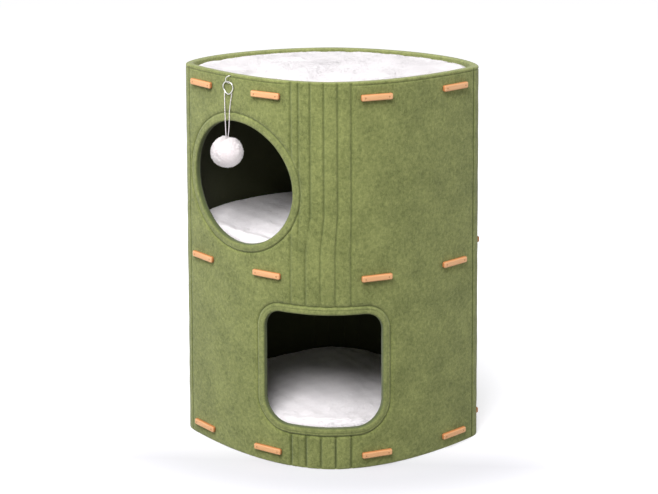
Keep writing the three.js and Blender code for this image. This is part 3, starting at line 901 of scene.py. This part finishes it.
def layOut(half, folds, shift, holes):  # the wall's points unrolled, cut to triangles
    fine = [-4.4, -2.8, -1.5, -0.8, 0, 0.8, 1.5, 2.8, 4.4]
    ends = [0, 0.15, 0.45, 0.9, 1.6, 3.4]
    columns = [(-half + e,) * 2 for e in ends] + [(half - e,) * 2 for e in ends]
    first, last = folds[0], folds[-1]
    before = ((-half + 3.4,) * 2, tuple(first[k] + shift - 4.4 for k in ("upper", "lower")))
    after = (tuple(last[k] + shift + 4.4 for k in ("upper", "lower")), (half - 3.4,) * 2)
    for begin, stop in (before, after):
        count = max(2, round((stop[0] - begin[0]) / feltWall["columnStep"]))
        for i in range(1, count):
            columns.append(tuple(b + (e - b) * i / count for b, e in zip(begin, stop)))
    for fold, following in zip(folds, [*folds[1:], None]):
        columns += [(fold["upper"] + shift + f, fold["lower"] + shift + f) for f in fine]
        if following:
            gap = following["upper"] - fold["upper"] - 8.8
            count = max(1, round(gap / feltWall["columnStep"]))
            for i in range(1, count):
                columns.append(tuple(fold[k] + shift + 4.4 + (following[k] - fold[k] - 8.8) * i / count
                                     for k in ("upper", "lower")))
    low, stitch = feltWall["hemRound"], feltWall["stitchZ"]
    rows = [*np.linspace(low, stitch - 2.6, round((stitch - low) / feltWall["rowStep"])),
            *(stitch + np.array([-1.3, -0.6, 0, 0.6, 1.3])), house["height"] - feltWall["rimRound"]]
    columns, rows = np.array(sorted(columns)), np.array(rows)
    low, high = feltWall["jog"]
    share = np.clip((rows - low) / (high - low), 0, 1)
    s = columns[:, 1:] + (columns[:, :1] - columns[:, 1:]) * share
    z = np.broadcast_to(rows, s.shape)
    flat = np.column_stack([s.ravel(), z.ravel()])
    keep = np.ones(len(flat), bool)
    for hole in holes:
        keep &= hole["distance"](*flat.T) > hole["border"] + 3.8
    flat = flat[keep]
    edges, loops = [], []
    for hole in holes:
        b = hole["border"]
        for offset in (0, 0.12, 0.45, 1.1, 2.2, 4, 6, b - 5.9, b - 5, b - 4.1, b - 2.8, b - 1.5,
                       b - 0.8, b - 0.35, b, b + 0.35, b + 0.8, b + 1.5, b + 2.7):
            ring = hole["outline"](offset)
            start = len(flat)
            loop = list(range(start, start + len(ring)))
            flat = np.vstack([flat, ring])
            edges += list(zip(loop, loop[1:] + loop[:1]))
            if offset == 0:
                loops.append(loop)
    if not holes:  # a plain wall keeps its rows and columns
        n, m = len(columns), len(rows)
        index = np.arange(n * m).reshape(n, m)
        a, b, c, d = index[:-1, :-1], index[1:, :-1], index[1:, 1:], index[:-1, 1:]
        return flat, np.column_stack([x.ravel() for x in (a, b, c, d)]).tolist(), loops
    made = delaunay_2d_cdt([Vector(p) for p in flat], edges, [], 0, 1e-5, True)
    places = np.array([tuple(v) for v in made[0]])
    back = {}
    for new, olds in enumerate(made[3]):
        for old in olds:
            back[old] = new
    middles = np.array([places[list(f)].mean(0) for f in made[2]])
    solid = np.ones(len(middles), bool)
    for hole in holes:
        solid &= hole["distance"](*middles.T) > -0.001
    faces = [made[2][i] for i in np.flatnonzero(solid)]
    return places, faces, [[back[i] for i in loop] for loop in loops]


def makeWall(name, wallLine, folds, shift, holes, look, press, stitched):
    half = wallLine["half"] - house["seamGap"] / 2
    flat, faces, loops = layOut(half, folds, shift, holes)
    s, z = flat[:, 0], flat[:, 1]
    depth, grooveShade, band = outerDepth(s, z, half, folds, shift, holes, stitched)
    within = innerDepth(wallLine, s, z, holes, folds, shift, press)
    wall, count = house["wall"], len(flat)
    places = [np.column_stack([s, z, depth]), np.column_stack([s, z, within])]
    # painted shade: the inner face darkens below the rim, down in the rooms
    dark = 1 - smoothStep(*feltWall["shadedFrom"], z)
    none, tunnelShade = np.zeros(count), feltWall["tunnelMark"]
    # painted shade on the felt's rounded edge round each opening
    holeEdgeShade = sum((tunnelShade * (1 - smoothStep(0, 1.8, hole["distance"](s, z))) for hole in holes), none)
    marks = [np.column_stack([grooveShade, holeEdgeShade, band, none + 1]),
             np.column_stack([none, dark, none, none + 1])]
    allFaces = [list(f) for f in faces] + [[i + count for i in f][::-1] for f in faces]
    total = 2 * count

    def bridge(edge, steps, closed=False):  # rounds the wall off between its two faces
        nonlocal total
        rows = [list(edge)]
        for rise, depthOf, mark in steps:
            deep = depthOf(depth[edge], within[edge])
            places.append(np.column_stack([s[edge], z[edge] + rise, deep]))
            marks.append(np.tile([*mark, 1], (len(edge), 1)))
            rows.append(list(range(total, total + len(edge))))
            total += len(edge)
        rows.append([i + count for i in edge])
        for low, high in zip(rows, rows[1:]):
            for i in range(len(low) - (not closed)):
                j = (i + 1) % len(low)
                allFaces.append([low[i], low[j], high[j], high[i]])
        return rows

    # the rounded rim and hem take the pale band mark: a painted sheen on the rounded edges
    def roundOff(radius, direction, steps=4):
        outer, inner = [], []
        for i in range(1, steps + 1):
            a = 0.5 * math.pi * i / steps
            rise, back = direction * radius * math.sin(a), radius * (1 - math.cos(a))
            outer.append((rise, lambda o, n, a=a, back=back: o * math.cos(a) ** 2 + back,
                          (0, 0, 0.9 * math.sin(a) ** 3)))
            inner.insert(0, (rise, lambda o, n, back=back: n - back, (0, 0, 0.7)))
        middle = (direction * radius, lambda o, n: 0.5 * wall + 0 * o, (0, 0, 0.9))
        return [*outer, middle, *inner]

    def inOrder(by, chosen):
        picked = np.flatnonzero(chosen)
        return picked[np.argsort(by[picked], kind="stable")].tolist()

    for level, radius, direction, steps in ((z.max(), feltWall["rimRound"], 1, 4),
                                            (z.min(), feltWall["hemRound"], -1, 3)):
        rows = bridge(inOrder(s, np.abs(z - level) < 1e-3), roundOff(radius, direction, steps))
        allFaces += [[row[end] for row in rows] for end in (0, -1)]
    for side in (-half, half):
        column = inOrder(z, np.abs(s - side) < 1e-3)
        for low, high in zip(column, column[1:]):
            allFaces.append([low, high, high + count, low + count])
    for loop in loops:
        # the cut edge through each opening is painted in shade
        bridge(loop, [(0, lambda o, n, t=t: o + (n - o) * t, (0, 0.5, 0)) for t in (0.25, 0.5, 0.75)], True)
        marks[1][loop, 1] = tunnelShade
    points = np.vstack([wallPoints(wallLine, p[:, 0], p[:, 1], p[:, 2]) for p in places])
    piece = makePiece(name, points, allFaces, look, marks=np.vstack(marks))
    turnFacesOut(piece)
    return piece


def frontStitched(s):
    return 1 - 0.75 * (1 - smoothStep(48, 62, np.abs(s - house["middleShift"])))


def backStitched(s):
    return np.ones(len(s))


frontWall = makeWall("front_felt", frontLine, frontFolds, house["middleShift"], openings,
                     frontFeltLook, 0, frontStitched)
settle(frontWall, "felt", "front_panel")
backWall = makeWall("back_felt", backLine, backFolds, 0, [], backFeltLook, 0.9, backStitched)
settle(backWall, "felt", "back_panel")
print("felt wall made:", len(frontWall.data.polygons), "and", len(backWall.data.polygons), "faces")

# Pads
padShape = {
    "bottom": {"base": 26.3, "edge": 57, "crown": 6, "rise": 0.085, "cornerFall": 19.5, "wave": 0.8,
               "fill": 0.6, "locks": 30000, "lockLength": 2.5, "lockTurn": 0.12},
    "middle": {"base": 309.3, "edge": 50.3, "crown": 4, "rise": 0.085, "cornerFall": 5, "wave": 0.8,
               "fill": 0.6, "locks": 30000, "lockLength": 2.5, "lockTurn": 0.12},
    "top": {"base": 581.8, "edge": 14, "crown": 2, "rise": 0, "cornerFall": 1.5, "wave": 0.15,
            "fill": 0.5, "locks": 38000, "lockLength": 2.0, "lockTurn": 0.05},
}
padMaking = {
    "start": 2.5,
    "voxel": 5,
    "pressure": 4,
    "frames": 20,
    "cap": 4.0,
    "wallGap": 0.5,
    "lockWide": 0.6,
    "lockGap": 0.25,
    "rootDepth": 0.5,
    "lean": 0.35,
    "heading": (-0.6, 0.5, 0.3),
}


def innerPlan(z, gap):  # the wall's inner outline at a height, in millimetres
    rounds = []
    for wallLine in (frontLine, backLine):
        along = np.linspace(-wallLine["half"], wallLine["half"], 120)[:-1]
        depth = house["wall"] + cornerExtra(wallLine, along) + gap
        rounds.append(wallPoints(wallLine, along, z, depth)[:, :2] / mm)
    return np.vstack(rounds)


def roomFor(points, gap):  # each point's own angle and distance, and how far out the wall lets it go
    outline = innerPlan(0, 0) - [0, cornerY]
    angle = np.arctan2(outline[:, 1], outline[:, 0])
    order = np.argsort(angle)
    x, y = points[:, 0] / mm, points[:, 1] / mm - cornerY
    own = np.arctan2(y, x)
    reach = np.interp(own, angle[order], np.hypot(*outline[order].T), period=2 * math.pi)
    return own, np.hypot(x, y), reach * shrink(points[:, 2] / mm) - gap


def spread(points, scale):
    points[:, 0] *= scale
    points[:, 1] = ((points[:, 1] / mm - cornerY) * scale + cornerY) * mm


def keepInside(points, gap):  # draws points in to the wall's inner face, in metres
    _, far, allowed = roomFor(points, gap)
    scale = np.minimum(1, allowed / np.maximum(far, 1e-6))
    spread(points, scale)
    return allowed - far * scale


def fillOut(points, gap):  # spreads a pad till it meets the wall all round; gives each point's share
    own, far, allowed = roomFor(points, gap)
    share = far / allowed
    sectors = np.linspace(-math.pi, math.pi, 181)
    sector = np.clip(np.digitize(own, sectors) - 1, 0, 179)
    most = np.array([share[sector == k].max() for k in range(180)])
    middles = (sectors[1:] + sectors[:-1]) / 2
    share = np.minimum(share / np.interp(own, middles, most, period=2 * math.pi), 1)
    spread(points, share * allowed / np.maximum(far, 1e-6))
    return share


def padTop(shape, x, y, share):
    fall = shape["cornerFall"] * x**2 / (x**2 + 100**2)
    return shape["edge"] + shape["rise"] * y - fall + shape["crown"] * (1 - share**2)


def placesOf(mesh):
    places = np.empty(len(mesh.vertices) * 3)
    mesh.vertices.foreach_get("co", places)
    return places.reshape(-1, 3)


def swell(piece):
    cloth = piece.modifiers.new("swell", "CLOTH")
    cloth.settings.use_pressure = True
    cloth.settings.uniform_pressure_force = padMaking["pressure"]
    cloth.settings.effector_weights.gravity = 0
    cloth.settings.quality = 4
    cloth.point_cache.frame_end = padMaking["frames"]
    for step in range(1, padMaking["frames"] + 1):
        scene.frame_set(step)
    after = placesOf(piece.evaluated_get(bpy.context.evaluated_depsgraph_get()).data)
    piece.modifiers.remove(cloth)
    scene.frame_set(1)
    return after


def applyModifiers(piece):
    made = bpy.data.meshes.new_from_object(piece.evaluated_get(bpy.context.evaluated_depsgraph_get()))
    piece.modifiers.clear()
    piece.data = made


def makePad(level):
    shape = padShape[level]
    start, base = padMaking["start"], shape["base"]
    outline = innerPlan(base + shape["edge"], padMaking["wallGap"] + start)
    rings = [(0.0, 0), (0.5, 0), (0.93, 0), (0.985, 0.12), (1, 0.45), (0.99, 0.82), (0.955, 0.97),
             (0.9, 1), (0.75, 1), (0.55, 1), (0.35, 1), (0.18, 1), (0.0, 1)]
    points = []
    for share, rise in rings:
        x, y = outline[:, 0] * share, cornerY + (outline[:, 1] - cornerY) * share
        top = rise * (padTop(shape, x, y, share) - start)
        points.append(np.column_stack([x, y, base + 0.3 * start * (rise < 0.1) + top]))
    faces = tubeFaces(len(rings), len(outline), capped=False)
    pad = makePiece(f"{level}_plush_pad", np.vstack(points) * mm, faces, plushes[level])
    turnFacesOut(pad, merge=0.05 * mm)
    even = pad.modifiers.new("even", "REMESH")
    even.mode, even.voxel_size = "VOXEL", padMaking["voxel"] * mm * (0.7 if level == "top" else 1)
    applyModifiers(pad)
    before = placesOf(pad.data)
    move = swell(pad) - before
    far = np.linalg.norm(move, axis=1)[:, None]
    after = before + move * np.minimum(1, padMaking["cap"] * mm / np.maximum(far, 1e-9))
    pad.data.vertices.foreach_set("co", after.ravel())
    smooth = pad.modifiers.new("finer", "SUBSURF")
    smooth.levels = smooth.render_levels = 1
    applyModifiers(pad)
    final = placesOf(pad.data)
    share = fillOut(final, padMaking["wallGap"])
    x, y, z = (final / mm).T
    dents = waves(x, y, [95, 55], 31) + 0.4 * waves(x * 0.6 + y, y * 0.6 - x, [26], 32)
    wanted = base + padTop(shape, x, y, share)
    rise = (z - base) / (wanted - base)
    upper = smoothStep(0.5, 0.85, rise)
    steps = np.linspace(0, 0.93, 16)
    near = [(rise > 0.8) & (np.abs(share - step) < 0.06) for step in steps]
    sunk = [np.mean((wanted - z)[some]) if some.any() else 0 for some in near]
    lift = np.interp(share, steps, sunk) + shape["wave"] * dents * (1 - smoothStep(0.8, 0.95, share))
    final[:, 2] = np.clip(z + upper * lift, base, base + padTop(shape, x, y, 0.3) + 1.5) * mm
    pad.data.vertices.foreach_set("co", final.ravel())
    pad.data.update()
    pad.data.materials.clear()
    pad.data.materials.append(plushes[level])
    pad.data.shade_smooth()
    settle(pad, "plush", f"{level}_pad")
    return pad


def makePile(level, pad):  # short leaning locks of plush all over the top of a pad
    chance = np.random.default_rng(len(level))
    mesh = pad.data
    mesh.calc_loop_triangles()
    corners = np.empty(len(mesh.loop_triangles) * 3, np.int32)
    mesh.loop_triangles.foreach_get("vertices", corners)
    a, b, c = placesOf(mesh)[corners.reshape(-1, 3).T]
    normal = np.cross(b - a, c - a)
    area = np.linalg.norm(normal, axis=1)
    normal /= np.maximum(area, 1e-12)[:, None]
    weight = area * (normal[:, 2] > 0.25)
    pick = chance.choice(len(weight), padShape[level]["locks"], p=weight / weight.sum())
    u, v = chance.uniform(0, 1, (2, len(pick)))
    over = u + v > 1
    u[over], v[over] = 1 - u[over], 1 - v[over]
    root = a[pick] + (b[pick] - a[pick]) * u[:, None] + (c[pick] - a[pick]) * v[:, None]
    up = normal[pick]
    room = keepInside(root, padMaking["wallGap"] + 0.6)
    x, y = root[:, 0] / mm, root[:, 1] / mm
    heading, swirl, stray = padMaking["heading"]
    heading = heading + swirl * waves(x, y, [150, 70], 41) + chance.normal(0, stray, len(pick))
    comb = np.column_stack([np.cos(heading), np.sin(heading), 0 * x])
    flat = 1 - 0.75 * np.exp(-room / 4)
    aim = unit(up * padMaking["lean"] * chance.uniform(0.7, 1.4, (len(pick), 1)) + comb * flat[:, None])
    length = padShape[level]["lockLength"] * chance.uniform(0.7, 1.25, len(pick)) * (0.55 + 0.45 * flat)
    side = unit(np.cross(aim, up))
    wide = padMaking["lockWide"] * mm * chance.uniform(0.7, 1.2, (len(pick), 1))
    base = root - up * padMaking["rootDepth"] * mm
    tip = root + aim * (length * mm)[:, None]
    ring = [base + side * wide, base - side * wide, base + np.cross(side, aim) * wide * 1.2]
    points, faces = spikes(ring, tip)
    keepInside(points, padMaking["lockGap"])
    pile = makePiece(f"{level}_pad_pile", points, faces, plushes[level])
    lendNormals(pile, np.repeat(up + padShape[level]["lockTurn"] * aim, 4, axis=0))
    return settle(pile, "plush")


for level in ("bottom", "middle", "top"):
    pad = makePad(level)
    makePile(level, pad)
    print(level, "pad made:", len(pad.data.polygons), "faces")

# Wooden bars, in millimetres
barShape = {
    "length": 48.4,
    "height": 9.5,
    "thick": 5,
    "corner": 2.6,
    "gap": 0.3,
    "pegPlace": 18.4,
    "pegRadius": 1.1,
}
barLevels = {
    "bottom": {"front": 21.5, "back": 30.5, "reach": 251},
    "middle": {"front": 304.5, "back": 320, "reach": 251},
    "top": {"front": 577, "back": 577, "reach": 236},
}
frontBars = (-223, -88, 85.3, 228.5)
innerBackBar = 92


def barOutline(inset):
    halfLength, halfHeight = barShape["length"] / 2 - inset, barShape["height"] / 2 - inset
    radius = max(barShape["corner"] - inset, 0.4)
    places = []
    for x, y, begin in ((1, 1, 0), (-1, 1, 0.5), (-1, -1, 1), (1, -1, 1.5)):
        for angle in np.linspace(begin, begin + 0.5, 7) * math.pi:
            places.append((x * (halfLength - radius) + radius * math.cos(angle),
                           y * (halfHeight - radius) + radius * math.sin(angle)))
    return places


def makeBar(name, node, wallLine, along, z, seed):
    chance = np.random.default_rng(seed)
    thick, count = barShape["thick"], 28
    profile = [(1.6, 0), (0.7, 0.05), (0.2, 0.3), (0, 0.8), (0, thick - 1.7), (0.15, thick - 1.1),
               (0.5, thick - 0.55), (1.1, thick - 0.15), (1.9, thick), (3.0, thick + 0.02)]
    points = [(x, y, out) for inset, out in profile for x, y in barOutline(inset)]
    edge = np.repeat([1, 1, 1, 1, 1, 0.7, 0.35, 0.1, 0, 0], count)
    faces = tubeFaces(len(profile), count)
    looks = [0] * len(faces)
    radius, sides = barShape["pegRadius"], 14
    for x in (-barShape["pegPlace"], barShape["pegPlace"]):  # a peg's end, sunk a little with a dark rim
        rings = [(radius * 1.15, thick - 0.6), (radius * 1.15, thick + 0.06), (radius * 0.95, thick + 0.04),
                 (radius * 0.85, thick + 0.22), (radius * 0.45, thick + 0.34)]
        start = len(points)
        for reach, out in rings:
            points += [(x + reach * math.cos(a), reach * math.sin(a), out)
                       for a in np.arange(sides) * 2 * math.pi / sides]
        new = tubeFaces(len(rings), sides, start)
        faces += new
        looks += [1] * len(new)
    local = np.array(points)
    placed = placeOnWall(local, wallLine, along, z, barShape["gap"])
    grain = local * mm + chance.uniform(-2, 2, 3)
    marks = np.zeros((len(local), 4))
    marks[:len(edge)] = edge[:, None]
    bar = makePiece(name, placed, faces, [wood, peg], marks=marks, grain=grain, faceLooks=looks)
    return settle(bar, "wood", node)


def makeBars():
    seed = 100
    for level, spec in barLevels.items():
        front = [s + house["middleShift"] for s in frontBars]
        back = [-spec["reach"], -innerBackBar, innerBackBar, spec["reach"]]
        for side, wallLine, places, z in (("front", frontLine, front, spec["front"]),
                                          ("back", backLine, back, spec["back"])):
            for i, along in enumerate(places):
                seed += 1
                makeBar(f"{level}_{side}_wood_bar_{i + 1}", f"{level}_{side}_bar_{i + 1}",
                        wallLine, along, z, seed)


makeBars()
print("wooden bars made")

# Boards keep their solids and take the felt
boardFelt = makeFelt("board_felt")
for level in ("bottom", "middle", "top"):
    board = frame["nodes"][f"{level}_board"]
    board.data.materials.clear()
    board.data.materials.append(boardFelt)

# Floor and light
studio = {
    "floorSize": 60,
    "sky": 0.36,
    "aim": (0, 0, 0.3),
    "key": {"place": (-0.60, -1.75, 2.86), "size": 1.7, "power": 122},
    "left": {"place": (-2.6, -0.9, 1.2), "size": 1.6, "power": 17},
    "right": {"place": (2.9, -0.45, 1.0), "size": 1.6, "power": 17},
    "bounce": {"place": (0.5, -1.15, 0.1), "aim": (-0.155, -0.12, 0.48), "size": 0.8, "power": 16},
}


def makeStudio():
    half = studio["floorSize"] / 2
    corners = [(-half, -half, 0), (half, -half, 0), (half, half, 0), (-half, half, 0)]
    floor = makePiece("floor", corners, [(0, 1, 2, 3)], makeFloorLook())
    floor.visible_diffuse = False
    world = bpy.data.worlds.new("studio")
    scene.world = world
    world.use_nodes = True
    sky = world.node_tree.nodes["Background"].inputs
    sky["Color"].default_value, sky["Strength"].default_value = (1, 1, 1, 1), studio["sky"]
    for name in ("key", "left", "right", "bounce"):
        data = bpy.data.lights.new(name, "AREA")
        data.energy, data.size = studio[name]["power"], studio[name]["size"]
        lamp = bpy.data.objects.new(name, data)
        scene.collection.objects.link(lamp)
        lamp.location = place = Vector(studio[name]["place"])
        lamp.rotation_mode = "QUATERNION"
        aim = Vector(studio[name].get("aim", studio["aim"]))
        lamp.rotation_quaternion = (place - aim).to_track_quat("Z", "Y")
    hung = bpy.data.collections.new("hung_pieces")  # the bounce off the floor reaches only these
    for piece in scene.objects:
        if piece.name.startswith(("pompom_", "string_")) and piece.name.endswith("_yarn"):
            hung.objects.link(piece)
    lamp.light_linking.receiver_collection = hung
    scene.view_settings.view_transform = "Standard"


makeStudio()
print("floor and light set")
